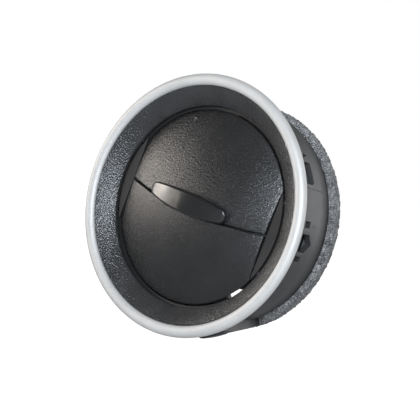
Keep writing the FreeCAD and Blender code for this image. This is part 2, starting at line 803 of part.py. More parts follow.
def make_pad(name, angle):
    middle = "(seat_radius + carrier_bore) / 2"
    outline = [
        ("%s - pad_height / 2" % middle, "seat_front - pad_thickness"),
        ("%s + pad_height / 2" % middle, "seat_front - pad_thickness"),
        ("%s + pad_height / 2" % middle, "seat_front"),
        ("%s - pad_height / 2" % middle, "seat_front"),
    ]
    return turn(prism(name, "XY", outline, "-pad_width / 2", "pad_width"), angle)


# Link rod between the two ears

def make_link():
    x = "-link_place - link_thickness"
    y = "stud_depth"
    low = "crank_up - pivot_height"
    high = "crank_up + pivot_height"
    ends = [rod("LinkEnd" + name, "crank_radius", "link_thickness", "X", x=x, y=y, z=z)
            for name, z in (("Low", low), ("High", high))]
    bar = block("LinkBar", x, "%s - link_width / 2" % y, low, "link_thickness", "link_width",
                "2 * pivot_height")
    holes = [rod("LinkHole" + name, "stud_radius + pin_fit", "link_thickness + 2", "X",
                 x="%s - 1" % x, y=y, z=z) for name, z in (("Low", low), ("High", high))]
    return cut("LinkRod", fuse("LinkSolid", bar, *ends), *holes)


# Finger tab: bowed bar with a convex face, held by a leg through the upper flap

def make_tab():
    end = "tab_half_length"
    slant = "tab_half_length - tab_end_chamfer"
    top_bow = "((%s) ^ 2 + tab_top_bow ^ 2) / (2 * tab_top_bow)" % slant
    bottom_bow = "((%s) ^ 2 + tab_bottom_bow ^ 2) / (2 * tab_bottom_bow)" % slant
    corners = [
        ("-(%s)" % slant, "-tab_bottom"),
        (slant, "-tab_bottom"),
        (end, "tab_end_chamfer - tab_bottom"),
        (end, "tab_top - tab_end_chamfer"),
        (slant, "tab_top"),
        ("-(%s)" % slant, "tab_top"),
        ("-" + end, "tab_top - tab_end_chamfer"),
        ("-" + end, "tab_end_chamfer - tab_bottom"),
    ]
    arcs = {0: (bottom_bow, -1), 4: (top_bow, -1)}
    bar = prism("TabBar", "XZ", corners, "-10", "30", arcs)
    face = doc.addObject("Part::Cylinder", "TabFace")
    bind(face, Radius="tab_face_radius", Height="40")
    move(face, y="tab_face_radius - tab_ahead", z="-20")
    front = common("TabFront", bar, face)
    grip = cut("TabGrip", front, ball("TabUnderside", "dome_radius + tab_gap"))
    leg_box = block("TabLegBox", "-tab_leg_half_length", "tab_leg_root - tab_ahead", "tab_leg_bottom",
                    "2 * tab_leg_half_length", "tab_leg_reach + tab_ahead - dome_ahead - tab_leg_root", "tab_leg_top - tab_leg_bottom")
    return fuse("FingerTab", grip, leg_box)


# All pieces

pieces["trim_ring"] = make_trim_ring()
pieces["bezel"] = make_bezel()
pieces["housing"] = make_housing()
pieces["foam_seal"] = make_foam()
pieces["felt_ring"] = make_felt()
pieces["flap_carrier"] = make_carrier()
pieces["upper_flap"] = make_flap("UpperFlap", True)
pieces["lower_flap"] = make_flap("LowerFlap", False)
pieces["finger_tab"] = make_tab()
pieces["link_rod"] = make_link()
for height in ("upper", "lower"):
    for side in ("left", "right"):
        label = "pivot_pin_%s_%s" % (height, side)
        pieces[label] = make_pin("Pin%s%s" % (height.title(), side.title()), side == "right", height == "upper")
    label = "friction_sleeve_%s" % height
    pieces[label] = make_sleeve("Sleeve" + height.title(), height == "upper")
PAD_ANGLES = {
    "stop_pad_1": "180 + pad_angle_far",
    "stop_pad_2": "180 + pad_angle_near",
    "stop_pad_3": "360 - pad_angle_near",
    "stop_pad_4": "360 - pad_angle_far",
}
for label, angle in PAD_ANGLES.items():
    pieces[label] = make_pad("Pad" + label[-1], angle)

doc.recompute()

# Checks and export

for item in doc.Objects:
    if "Invalid" in item.State or "Error" in item.State:
        raise RuntimeError("failed object: %s %s" % (item.Name, item.State))
for label, item in pieces.items():
    item.Label = label
    if item.Shape.isNull() or not item.Shape.isValid():
        raise RuntimeError("bad shape: " + label)

os.makedirs("parts", exist_ok=True)
for label, item in pieces.items():
    item.Shape.exportStep("parts/%s.step" % label)
    box = item.Shape.BoundBox
    print("%-24s solids %d volume %9.1f  x %6.1f %6.1f  y %6.1f %6.1f  z %6.1f %6.1f" % (
        label, len(item.Shape.Solids), item.Shape.Volume, box.XMin, box.XMax, box.YMin, box.YMax,
        box.ZMin, box.ZMax))
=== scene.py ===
"""Looks of a round dashboard air vent: satin ring, grained funnel and flaps, finger tab, barrel and foam."""
import math
import bpy
import numpy as np
from bpy.props import FloatProperty, FloatVectorProperty, PointerProperty
from mathutils import Matrix


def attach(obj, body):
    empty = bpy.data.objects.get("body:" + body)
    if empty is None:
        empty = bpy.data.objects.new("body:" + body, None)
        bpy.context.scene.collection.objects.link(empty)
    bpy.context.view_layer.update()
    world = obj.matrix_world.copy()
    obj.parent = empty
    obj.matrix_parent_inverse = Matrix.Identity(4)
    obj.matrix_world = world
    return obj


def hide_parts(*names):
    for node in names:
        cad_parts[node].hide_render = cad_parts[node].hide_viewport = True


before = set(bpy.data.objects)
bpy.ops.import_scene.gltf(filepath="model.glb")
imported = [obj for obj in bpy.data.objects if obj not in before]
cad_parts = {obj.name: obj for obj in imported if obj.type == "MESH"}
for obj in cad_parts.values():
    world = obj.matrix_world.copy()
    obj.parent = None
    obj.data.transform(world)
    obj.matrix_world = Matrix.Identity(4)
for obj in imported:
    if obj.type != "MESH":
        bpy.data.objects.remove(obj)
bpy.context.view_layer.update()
MM = 0.001

bl_info = {
    "name": "Round Air Vent",
    "version": (1, 0, 0),
    "blender": (4, 5, 0),
    "location": "View3D > Sidebar > Air Vent",
    "description": "Surfaces, finishes and stage for a round dashboard air vent",
    "category": "Object",
}


# Settings

def length(name, description, default):
    """A length in metres, given in millimetres."""
    return FloatProperty(name=name, description=description, default=default * MM, min=0.0,
                         precision=5, subtype="DISTANCE", unit="LENGTH")


def shade(name, description, default):
    """A linear colour."""
    return FloatVectorProperty(name=name, description=description, default=default, size=3,
                               min=0.0, max=1.0, subtype="COLOR")


def light_power(name, description, default):
    """Strength of a light."""
    return FloatProperty(name=name, description=description, default=default, min=0.0)


class VentSizes(bpy.types.PropertyGroup):
    ring_radius: length("Ring radius", "Outer edge of the satin ring", 45.0)
    ring_width: length("Ring width", "From the satin ring's outer edge to its bore", 4.0)
    throat_radius: length("Throat radius", "Narrow end of the funnel", 34.7)
    skirt_radius: length("Skirt radius", "Outside of the skirt that enters the barrel", 37.5)
    flap_radius: length("Flap radius", "Rim of the flap disc", 33.5)
    flap_half_width: length("Flap half width", "From the middle to a flap's straight side", 29.4)
    flap_round: length("Flap edge radius", "Rounding of the flaps' front edges", 0.4)
    dome_radius: length("Dome radius", "Curvature of the flaps' face", 92.0)
    dome_ahead: length("Dome height", "How far the dome's top stands ahead of the panel", 3.46)
    parting_gap: length("Parting gap", "Between the two flaps", 0.5)
    tab_half_length: length("Tab half length", "From the middle of the finger tab to its end", 16.3)
    tab_round: length("Tab edge radius", "Rounding of the finger tab's face", 0.6)
    foam_radius: length("Foam radius", "Outside of the foam ring", 40.2)
    foam_relief: length("Foam relief", "Depth of the open cells in the foam's surface", 0.45)


class VentFinishes(bpy.types.PropertyGroup):
    ring: shade("Ring", "Satin silver of the ring", (0.57, 0.56, 0.54))
    funnel: shade("Funnel", "Grained black of the funnel", (0.026, 0.026, 0.0263))
    flaps: shade("Flaps", "Grained black of the flaps", (0.011, 0.011, 0.0111))
    tab: shade("Tab", "Smooth black of the finger tab", (0.012, 0.012, 0.012))
    barrel: shade("Barrel", "Moulded black of the housing", (0.05, 0.05, 0.051))
    foam: shade("Foam", "Charcoal of the open-cell foam", (0.15, 0.148, 0.144))
    metal: shade("Metal", "Ground steel of the pivot pins", (0.55, 0.55, 0.57))


class VentStage(bpy.types.PropertyGroup):
    warm_light: light_power("Warm light", "Power of the softbox on the left", 5.2)
    fade_light: light_power("Fade light", "Power of its dimmer edge", 1.2)
    cool_light: light_power("Cool light", "Power of the softbox in front", 9.5)
    side_light: light_power("Side light", "Power of the softbox behind on the right", 5.6)
    surround: light_power("Surround", "Strength of the room's even light", 0.23)
    floor_drop: length("Floor drop", "Floor below the vent's axis", 88.0)


# Meshes, all in millimetres

def grid_faces(rows, columns, close_rows, close_columns):
    """Quads of a grid of points, row after row, wrapped round where a direction is closed."""
    row = np.arange(rows if close_rows else rows - 1)
    column = np.arange(columns if close_columns else columns - 1)
    i, j = np.meshgrid(row, column, indexing="ij")
    i2, j2 = (i + 1) % rows, (j + 1) % columns
    corners = [i * columns + j, i2 * columns + j, i2 * columns + j2, i * columns + j2]
    return np.stack(corners, -1).reshape(-1, 4)


def outward(points, faces):
    """Turns all faces round if the volume under them, the sum of p . (q x r) / 6, is negative."""
    a, b, c, d = (points[faces[:, k]] for k in range(4))
    volume = np.einsum("ij,ij->", a, np.cross(b, c)) + np.einsum("ij,ij->", a, np.cross(c, d))
    return faces if volume > 0 else faces[:, ::-1]


def build(name, shells, material, body, node=None, sharp=40.0):
    """One mesh from closed shells, each a pair of points and quads. It rides on a body."""
    points = np.concatenate([shell[0] for shell in shells]) * MM
    starts = np.cumsum([0] + [len(shell[0]) for shell in shells[:-1]])
    faces = np.concatenate([outward(p, f) + start for (p, f), start in zip(shells, starts)])
    mesh = bpy.data.meshes.new(name)
    lists = [[v for k, v in enumerate(face) if v != face[k - 1]] for face in faces.tolist()]
    used = np.zeros(len(points), bool)
    used[faces.ravel()] = True
    number = np.cumsum(used) - 1
    mesh.from_pydata(points[used].tolist(), [], [[int(number[v]) for v in face] for face in lists])
    mesh.validate()
    mesh.shade_smooth()
    mesh.set_sharp_from_angle(angle=math.radians(sharp))
    piece = bpy.data.objects.new(name, mesh)
    bpy.context.scene.collection.objects.link(piece)
    mesh.materials.append(material)
    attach(piece, body)
    if node:
        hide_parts(node)
    return piece


def turned(profile, count):
    """Shell of a closed profile (radius, place) carried round Y: (r cos t, y, r sin t)."""
    profile = np.asarray(profile, float)
    t = np.linspace(0, 2 * np.pi, count, endpoint=False)[:, None]
    r, y = profile[None, :, 0], profile[None, :, 1]
    points = np.stack([r * np.cos(t), y + 0 * t, r * np.sin(t)], -1)
    return points.reshape(-1, 3), grid_faces(count, len(profile), True, True)


def rounded(corners, steps=6):
    """Closed path through corners (x, y, radius), each rounded by an arc tangent to both of its sides."""
    corners = np.asarray(corners, float)
    spots, radii = corners[:, :2], corners[:, 2]
    path = []
    for k in range(len(spots)):
        here, back, on = spots[k], spots[k - 1], spots[(k + 1) % len(spots)]
        if radii[k] == 0:
            path.append(here[None])
            continue
        a, b = back - here, on - here
        a, b = a / np.linalg.norm(a), b / np.linalg.norm(b)
        half = np.arccos(np.clip(a @ b, -1, 1)) / 2
        reach = radii[k] / np.tan(half)
        middle = here + (a + b) / np.linalg.norm(a + b) * radii[k] / np.sin(half)
        first, last = here + a * reach - middle, here + b * reach - middle
        sweep = np.pi - 2 * half
        s = np.linspace(0, 1, steps + 1)[:, None]
        path.append(middle + (np.sin((1 - s) * sweep) * first + np.sin(s * sweep) * last) / np.sin(sweep))
    return np.concatenate(path)


def arc(start, end, radius, count):
    """Points of the arc of a radius between two points, bulging to the left of the way."""
    start, end = np.asarray(start, float), np.asarray(end, float)
    chord = end - start
    length_of = np.linalg.norm(chord)
    left = np.array([-chord[1], chord[0]]) / length_of
    middle = (start + end) / 2 - left * math.sqrt(radius ** 2 - length_of ** 2 / 4)
    first, last = start - middle, end - middle
    sweep = 2 * math.asin(length_of / 2 / radius)
    s = np.linspace(0, 1, count)[:, None]
    return middle + (np.sin((1 - s) * sweep) * first + np.sin(s * sweep) * last) / math.sin(sweep)


def spline(points, steps):
    """Smooth path through points: on each span p = sum of Catmull-Rom weights of the four points round it."""
    p = np.concatenate([2 * points[:1] - points[1:2], points, 2 * points[-1:] - points[-2:-1]])
    t = np.linspace(0, 1, steps, endpoint=False)[None, :, None]
    a, b, c, d = (p[k:len(p) - 3 + k, None] for k in range(4))
    square, cube = 2 * a - 5 * b + 4 * c - d, 3 * b - a - 3 * c + d
    path = 0.5 * (2 * b + (c - a) * t + square * t ** 2 + cube * t ** 3)
    return np.concatenate([path.reshape(-1, points.shape[1]), points[-1:]])


def capped(rings):
    """Shell of rings of points, closed by a point at the middle of the first ring and of the last."""
    count = rings.shape[1]
    start = np.repeat(rings[0].mean(0)[None], count, 0)[None]
    end = np.repeat(rings[-1].mean(0)[None], count, 0)[None]
    rings = np.concatenate([start, rings, end])
    rows = len(rings)
    points = rings.reshape(-1, 3)
    faces = grid_faces(rows, count, False, True)
    faces = np.where(faces < count, 0, faces)
    faces = np.where(faces >= (rows - 1) * count, (rows - 1) * count, faces)
    return points, faces


def slab(loop, low, high, bevel, axis):
    """Rounded-edge slab: a loop in two axes, carried from low to high along the third.

    Near each end the loop p is drawn in to m + (p - m)(1 - i / |p - m|) about its middle m, with
    i = b (1 - sin q) at the depth b (1 - cos q) for a bevel b.
    """
    loop = np.asarray(loop, float)
    middle = loop.mean(0)
    out = loop - middle
    reach = np.linalg.norm(out, axis=1)[:, None]
    q = np.linspace(0, np.pi / 2, 4)
    inset = np.concatenate([bevel * (1 - np.sin(q)), (bevel * (1 - np.sin(q)))[::-1]])
    depth = bevel * (1 - np.cos(q))
    place = np.concatenate([low + depth, (high - depth)[::-1]])
    rings = []
    for i, along in zip(inset, place):
        flat = middle + out * (1 - i / reach)
        rings.append(np.insert(flat, axis, along, axis=1))
    return capped(np.array(rings))


def pipe(low, high, y, z, bore, radius, count=64):
    """Ring of a rectangular section about a line along X: (x, y + r cos t, z + r sin t)."""
    profile = rounded([(bore, low, 0.1), (radius, low, 0.15), (radius, high, 0.15), (bore, high, 0.1)], 3)
    t = np.linspace(0, 2 * np.pi, count, endpoint=False)[:, None]
    r, x = profile[None, :, 0], profile[None, :, 1]
    points = np.stack([x + 0 * t, y + r * np.cos(t), z + r * np.sin(t)], -1)
    return points.reshape(-1, 3), grid_faces(count, len(profile), True, True)


def disc_loop(y, z, radius, count=40):
    """Circle in the YZ plane."""
    t = np.linspace(0, 2 * np.pi, count, endpoint=False)
    return np.stack([y + radius * np.cos(t), z + radius * np.sin(t)], -1)


def box_loop(low, high, radius, steps=4):
    """Rounded rectangle between two corners."""
    return rounded([(low[0], low[1], radius), (high[0], low[1], radius), (high[0], high[1], radius),
                    (low[0], high[1], radius)], steps)


def swung(shell, angle):
    """Shell turned about the vent's axis, from +X towards +Z."""
    points, faces = shell
    c, s = math.cos(math.radians(angle)), math.sin(math.radians(angle))
    x, y, z = points.T
    return np.stack([c * x - s * z, y, s * x + c * z], -1), faces


def reach(centre, t, circles, lines, soft):
    """Distance from a centre, in each direction t, to the nearest bound of a plate.

    A circle (x, z, r, inside) is met where |c + d u - m| = r, a line (x, z, d) where n . (c + d u) = d.
    The distances are joined by a soft minimum, -k log(sum(exp(-d / k))), which rounds the corners.
    """
    ux, uz = np.cos(t), np.sin(t)
    found = []
    for x, z, radius, inside in circles:
        along = (centre[0] - x) * ux + (centre[1] - z) * uz
        rest = along ** 2 - (centre[0] - x) ** 2 - (centre[1] - z) ** 2 + radius ** 2
        root = np.sqrt(np.maximum(rest, 0))
        near = -along - root
        found.append(-along + root if inside else np.where((rest > 0) & (near > 0), near, 1e3))
    for x, z, far in lines:
        slope = x * ux + z * uz
        away = (far - x * centre[0] - z * centre[1]) / np.maximum(slope, 1e-6)
        found.append(np.where(slope > 1e-6, away, 1e3))
    found = np.array(found)
    least = found.min(0)
    return least - soft * np.log(np.exp(-(found - least) / soft).sum(0))


def value_noise(points, size, seed):
    """Smooth noise from -1 to 1: random values on a lattice, joined by the weights 3 t^2 - 2 t^3."""
    values = np.random.default_rng(seed).uniform(-1, 1, (64, 64, 64))
    spot = points / size
    base = np.floor(spot).astype(int)
    t = spot - base
    t = t * t * (3 - 2 * t)
    total = np.zeros(len(points))
    for corner in range(8):
        step = np.array([corner & 1, corner >> 1 & 1, corner >> 2 & 1])
        weight = np.prod(np.where(step, t, 1 - t), axis=1)
        i, j, k = ((base + step) % 64).T
        total += weight * values[i, j, k]
    return total


# Materials

class Nodes:
    """Short hand for a material's node tree."""

    def __init__(self, name):
        self.material = bpy.data.materials.new(name)
        self.material.use_nodes = True
        self.tree = self.material.node_tree
        self.tree.nodes.clear()
        self.place = self.add("ShaderNodeTexCoord").outputs["Object"]

    def add(self, kind, inputs=None, **options):
        """A node with its options, its inputs set to values or linked."""
        node = self.tree.nodes.new(kind)
        for key, value in options.items():
            setattr(node, key, value)
        for key, value in (inputs or {}).items():
            if isinstance(value, bpy.types.NodeSocket):
                self.tree.links.new(value, node.inputs[key])
            else:
                node.inputs[key].default_value = value
        return node

    def noise(self, scale, detail=2.0, rough=0.5):
        """Noise with a given number of features per metre."""
        node = self.add("ShaderNodeTexNoise", {"Vector": self.place, "Scale": scale, "Detail": detail,
                                               "Roughness": rough})
        return node.outputs["Fac"]

    def cells(self, scale, feature):
        """Distance within cells, with a given number of cells per metre."""
        node = self.add("ShaderNodeTexVoronoi", {"Vector": self.place, "Scale": scale}, feature=feature)
        return node.outputs["Distance"]

    def ramp(self, value, low, high, from_low=0.0, from_high=1.0):
        """Value carried from one range to another."""
        node = self.add("ShaderNodeMapRange", {"Value": value, "From Min": from_low, "From Max": from_high,
                                               "To Min": low, "To Max": high})
        return node.outputs["Result"]

    def tint(self, value, dark, light):
        """Colour between two colours."""
        node = self.add("ShaderNodeMix", data_type="RGBA")
        self.tree.links.new(value, node.inputs[0])
        node.inputs[6].default_value = (*dark, 1)
        node.inputs[7].default_value = (*light, 1)
        return node.outputs[2]

    def mix(self, first, second, operation="ADD"):
        """Arithmetic on two values."""
        return self.add("ShaderNodeMath", {0: first, 1: second}, operation=operation).outputs[0]

    def bump(self, height, distance):
        """Relief of a given height in metres."""
        inputs = {"Height": height, "Distance": distance, "Strength": 1.0}
        return self.add("ShaderNodeBump", inputs).outputs["Normal"]

    def finish(self, **inputs):
        """Surface shader with its inputs, given by name with underscores for spaces."""
        shader = self.add("ShaderNodeBsdfPrincipled", {key.replace("_", " "): v for key, v in inputs.items()})
        output = self.add("ShaderNodeOutputMaterial")
        self.tree.links.new(shader.outputs["BSDF"], output.inputs["Surface"])
        return self.material


def scaled(colour, factor):
    """Colour made lighter or darker."""
    return tuple(min(1.0, channel * factor) for channel in colour)


def grained(name, colour, cells_per_metre, height, rough):
    """Moulded plastic with a fine leather-like grain: rounded cells broken up by noise."""
    n = Nodes(name)
    warp = n.noise(cells_per_metre * 0.8, 2.0)
    pebbles = n.cells(cells_per_metre, "SMOOTH_F1")
    fine = n.noise(cells_per_metre * 1.9, 3.0, 0.6)
    relief = n.mix(n.mix(pebbles, warp), n.mix(fine, 0.6, "MULTIPLY"))
    patchy = n.noise(90.0, 3.0)
    colour_out = n.tint(n.ramp(patchy, 0, 1, 0.35, 0.65), scaled(colour, 0.8), scaled(colour, 1.3))
    roughness = n.ramp(fine, rough - 0.08, rough + 0.08, 0.3, 0.7)
    return n.finish(Base_Color=colour_out, Roughness=roughness, Normal=n.bump(relief, height),
                    Specular_IOR_Level=0.6)


def satin(name, colour):
    """Satin metallic coat: fine flake noise and very faint rubbing marks."""
    n = Nodes(name)
    flake = n.noise(5200.0, 2.0)
    wear = n.noise(140.0, 4.0, 0.6)
    colour_out = n.tint(n.ramp(wear, 0, 1, 0.3, 0.7), scaled(colour, 0.95), scaled(colour, 1.03))
    roughness = n.ramp(wear, 0.5, 0.58, 0.3, 0.7)
    return n.finish(Base_Color=colour_out, Metallic=0.3, Roughness=roughness,
                    Normal=n.bump(flake, 0.000004))


def smooth_plastic(name, colour, rough, height=0.000004):
    """Smooth moulded plastic with slight unevenness and handling marks."""
    n = Nodes(name)
    soft = n.noise(300.0, 3.0)
    fine = n.noise(2600.0, 2.0)
    colour_out = n.tint(soft, scaled(colour, 0.85), scaled(colour, 1.15))
    roughness = n.ramp(soft, rough - 0.04, rough + 0.06, 0.3, 0.7)
    return n.finish(Base_Color=colour_out, Roughness=roughness, Normal=n.bump(fine, height))


def barrel_plastic(colour):
    """Moulded black, satin on the barrel and dull on the shoulder, with painted shade darkening the shoulder
    towards the rear.
    """
    n = Nodes("barrel_plastic")
    soft = n.noise(300.0, 3.0)
    along = n.add("ShaderNodeSeparateXYZ", {"Vector": n.place}).outputs["Y"]
    shoulder = n.ramp(along, 0.0, 1.0, 0.017, 0.0245)
    # Painted shade: the base colour falls to a tenth across the shoulder towards the rear, where the groove
    # before the foam lies in shadow.
    tone_and_painted_shade = n.mix(n.ramp(soft, 0.85, 1.15), n.ramp(shoulder, 1.0, 0.1), "MULTIPLY")
    roughness = n.mix(n.ramp(soft, 0.42, 0.5, 0.3, 0.7), n.ramp(shoulder, 0.0, 0.35))
    return n.finish(Base_Color=n.tint(tone_and_painted_shade, (0.0, 0.0, 0.0), colour), Roughness=roughness,
                    Normal=n.bump(n.noise(2600.0, 2.0), 0.00001))


def foam_material(name, colour):
    """Open-cell foam: pale struts round pores darkened by painted shade, in two sizes of cell, with painted
    glints and a soft sheen.
    """
    n = Nodes(name)
    coarse = n.cells(1800.0, "DISTANCE_TO_EDGE")
    fine = n.cells(3200.0, "DISTANCE_TO_EDGE")
    # Painted shade: the pores between the struts are painted dark, as the shade inside the cells.
    strut = n.mix(n.ramp(coarse, 1, 0, 0.0, 0.22), n.ramp(fine, 0.6, 0, 0.0, 0.25), "MAXIMUM")
    patchy = n.noise(420.0, 4.0, 0.6)
    # Painted glints: scattered bright specks in the colour stand in for sparkle of light off the struts.
    painted_glint = n.ramp(n.noise(1500.0, 2.0), 0.0, 1.6, 0.6, 0.72)
    depth = n.mix(n.mix(strut, n.ramp(patchy, 0.4, 1.3, 0.3, 0.7), "MULTIPLY"), painted_glint)
    colour_out = n.tint(n.ramp(depth, 0, 1, 0.45, 1.25), scaled(colour, 0.12), scaled(colour, 5.5))
    return n.finish(Base_Color=colour_out, Roughness=0.75, Normal=n.bump(depth, 0.0005),
                    Sheen_Weight=0.5, Sheen_Roughness=0.5)


def steel(name, colour):
    """Ground steel: fine grinding marks."""
    n = Nodes(name)
    marks = n.noise(3000.0, 2.0)
    roughness = n.ramp(marks, 0.25, 0.42, 0.3, 0.7)
    return n.finish(Base_Color=n.tint(marks, scaled(colour, 0.9), scaled(colour, 1.05)),
                    Metallic=1.0, Roughness=roughness, Normal=n.bump(marks, 0.000003))


def felt_material(name):
    """Pressed felt: tangled fibres."""
    n = Nodes(name)
    fibres = n.noise(2400.0, 5.0, 0.7)
    return n.finish(Base_Color=n.tint(fibres, (0.05, 0.05, 0.05), (0.16, 0.16, 0.16)), Roughness=0.95,
                    Normal=n.bump(fibres, 0.0002), Sheen_Weight=0.4)


def dress(node, material):
    """Gives a CAD node its finish."""
    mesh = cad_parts[node].data
    mesh.materials.clear()
    mesh.materials.append(material)


# Pieces

# Points round the vent's axis
AROUND = 480
SNAP_ARM_ANGLE, SNAP_ARM_HALF_WIDTH = 37.7, 3.3


class VENT_OT_trim_ring(bpy.types.Operator):
    """Satin ring: a domed band round the face, hollow behind"""
    bl_idname = "vent.trim_ring"
    bl_label = "Trim Ring"

    def execute(self, context):
        sizes, looks = context.scene.vent_sizes, context.scene.vent_finishes
        edge = sizes.ring_radius / MM
        bore = edge - sizes.ring_width / MM
        crown = np.array([(bore, -2.95), (bore + 0.12, -3.22), (bore + 0.6, -3.72), (bore + 1.4, -4.04),
                          (bore + 2.3, -4.08), (bore + 3.1, -3.78), (bore + 3.7, -3.2), (edge - 0.03, -2.6),
                          (edge, -2.2), (edge - 0.18, -1.7), (edge - 0.5, -1.2)])
        back = np.array([(edge - 1.6, -1.2), (edge - 1.6, -2.6), (bore + 1.1, -2.6), (bore + 1.1, -1.2),
                         (bore, -1.2)])
        profile = np.concatenate([spline(crown, 8), back])
        coat = satin("satin_silver_coat", looks.ring)
        build("trim_ring_satin", [turned(profile, AROUND)], coat, "frame", "trim_ring", 50)
        return {"FINISHED"}


class VENT_OT_bezel(bpy.types.Operator):
    """Bezel: bowed funnel with a rolled throat, flange, skirt and snap arms"""
    bl_idname = "vent.bezel"
    bl_label = "Bezel"

    def execute(self, context):
        sizes, looks = context.scene.vent_sizes, context.scene.vent_finishes
        edge, throat, skirt = sizes.ring_radius / MM, sizes.throat_radius / MM, sizes.skirt_radius / MM
        lip, bore = edge - sizes.ring_width / MM - 0.14, skirt - 1.1
        end, rebate, flange = 5.4, -0.4, -1.2
        funnel = arc((lip - 0.25, -2.82), (throat + 0.3, 1.2), 22.0, 28)
        roll = np.array([(throat + 0.3, 1.2), (throat + 0.06, 1.5), (throat, 1.85), (throat + 0.02, 2.7),
                         (throat + 0.25, 2.95)])
        rest = rounded([(throat + 0.25, 2.95, 0), (bore, 2.95, 0.2), (bore, end, 0.2), (skirt, end, 0.3),
                        (skirt, rebate, 0.05), (skirt + 2.3, rebate, 0.05), (skirt + 2.3, 0, 0.1),
                        (edge - 1, 0, 0.2), (edge - 1, flange, 0.1), (lip, flange, 0), (lip, -2.7, 0)], 3)
        shells = [turned(np.concatenate([funnel, spline(roll, 5)[1:], rest[1:]]), AROUND)]
        side, tip = skirt - 0.15, skirt + 1.6
        arm = rounded([(bore, 4.9, 0.1), (side, 4.9, 0.1), (side, 6.35, 0.15), (tip, 6.35, 0.2),
                       (tip, 7.31, 0.5), (side, 9.55, 0.4), (bore, 9.55, 0.3)], 3)
        for k in range(3):
            plain = slab(arm, -SNAP_ARM_HALF_WIDTH, SNAP_ARM_HALF_WIDTH, 0.2, 2)
            shells.append(swung(plain, SNAP_ARM_ANGLE + 120 * k))
        build("bezel_funnel", shells, grained("funnel_grain", looks.funnel, 1800.0, 0.00015, 0.24), "frame",
              "bezel", 35)
        return {"FINISHED"}


def dome(sizes, x, z, depth):
    """Place along Y on the flaps' dome, y = D - a - sqrt((D - depth)^2 - x^2 - z^2)."""
    radius = sizes.dome_radius / MM
    return radius - sizes.dome_ahead / MM - np.sqrt((radius - depth) ** 2 - x ** 2 - z ** 2)


PARTING_BOW, PARTING_RADIUS, PARTING_HEIGHT = 2.6, 167.5, 0.2
PIVOT_Y, PIVOT_Z, STUD_Y, STUD_UP = 4.5, 12.5, 8.1, 13.5
RELIEF_ANGLE, RELIEF_RADIUS, RELIEF_SLOPE, RELIEF_START, RELIEF_HALF_WIDTH = -41, 33.2, 0.44, 2.86, 3.0
PLATE_DEPTH, RIM_DEPTH, OPEN_EDGE_DEPTH = 2.0, 3.5, 2.06
LAP_FRONT, LAP_REACH = 2.35, 1.6


def parting(x, offset):
    """Height of the parting curve, z = h - b + R - sqrt(R^2 - x^2), moved by an offset."""
    return PARTING_HEIGHT + offset - PARTING_BOW + PARTING_RADIUS - np.sqrt(PARTING_RADIUS ** 2 - x ** 2)


def flap_plate(sizes, upper):
    """Domed shell of a flap: rings of its outline drawn in from the rim to the centre, before and behind.

    The front edge is an arc: the outline drawn in by e (1 - sin q) lies at the depth e (1 - cos q).
    """
    rim, half, e = sizes.flap_radius / MM, sizes.flap_half_width / MM, sizes.flap_round / MM
    gap = sizes.parting_gap / MM / 2
    centre = np.array([0.0, 14.5 if upper else -15.5])
    t = np.linspace(0, 2 * np.pi, 720, endpoint=False)
    edge = PARTING_HEIGHT + (gap if upper else -gap) - PARTING_BOW + PARTING_RADIUS

    def outline(inset):
        if upper:
            parting_circle = (0, edge, PARTING_RADIUS - inset, True)
        else:
            parting_circle = (0, edge, PARTING_RADIUS + inset, False)
        sides = [(1, 0, half - inset), (-1, 0, half - inset)]
        far = reach(centre, t, [(0, 0, rim - inset, True), parting_circle], sides, 0.14)
        return centre + far[:, None] * np.stack([np.cos(t), np.sin(t)], -1)

    def ring(flat, depth):
        return np.stack([flat[:, 0], dome(sizes, flat[:, 0], flat[:, 1], depth), flat[:, 1]], -1)

    def relieved(points, slack):
        """Low right side of the rim drawn in to u = r - k (y - y0) - slack over the relief's width."""
        turn = math.radians(RELIEF_ANGLE)
        c, s = math.cos(turn), math.sin(turn)
        u, v = points[:, 0] * c + points[:, 2] * s, points[:, 2] * c - points[:, 0] * s
        limit = RELIEF_RADIUS - RELIEF_SLOPE * (points[:, 1] - RELIEF_START) - slack
        u = np.where(abs(v) < RELIEF_HALF_WIDTH, np.minimum(u, limit), u)
        return points if upper else np.stack([u * c - v * s, points[:, 1], u * s + v * c], -1)

    rings = [ring(centre + (outline(e) - centre) * s, 0.0) for s in np.linspace(0, 1, 22)[1:]]
    for q in np.linspace(0, np.pi / 2, 6)[1:]:
        rings.append(relieved(ring(outline(e * (1 - np.sin(q))), e * (1 - np.cos(q))), 0))
    back = outline(0)
    open_edge = upper & (back[:, 1] < parting(back[:, 0], gap + LAP_REACH + 0.3))
    deep = np.where(open_edge, OPEN_EDGE_DEPTH, RIM_DEPTH)
    inner = outline(1.2)
    rings += [relieved(ring(back, deep - 0.05), 0), relieved(ring(outline(0.15), deep), 0.1),
              relieved(ring(outline(1.1), deep), 0.4),
              relieved(ring(inner, np.minimum(deep, RIM_DEPTH - 0.1)), 0.5),
              relieved(ring(inner, PLATE_DEPTH), 0.5)]
    rings += [ring(centre + (inner - centre) * s, PLATE_DEPTH) for s in np.linspace(0.95, 0.05, 12)]
    return capped(np.array(rings))


def lap_band(sizes, low, high):
    """Lap behind the parting: a rounded section behind the plate, carried along the parting curve."""
    section = rounded([(-1.2, LAP_FRONT, 0.1), (LAP_REACH, LAP_FRONT, 0.3), (LAP_REACH, RIM_DEPTH, 0.3),
                       (-1.2, RIM_DEPTH, 0.1)], 3)
    rings = []
    for x in np.linspace(low, high, 60):
        z = parting(x, section[:, 0] - sizes.parting_gap / MM / 2)
        rings.append(np.stack([np.full(len(z), x), dome(sizes, x, z, section[:, 1]), z], -1))
    return capped(np.array(rings))


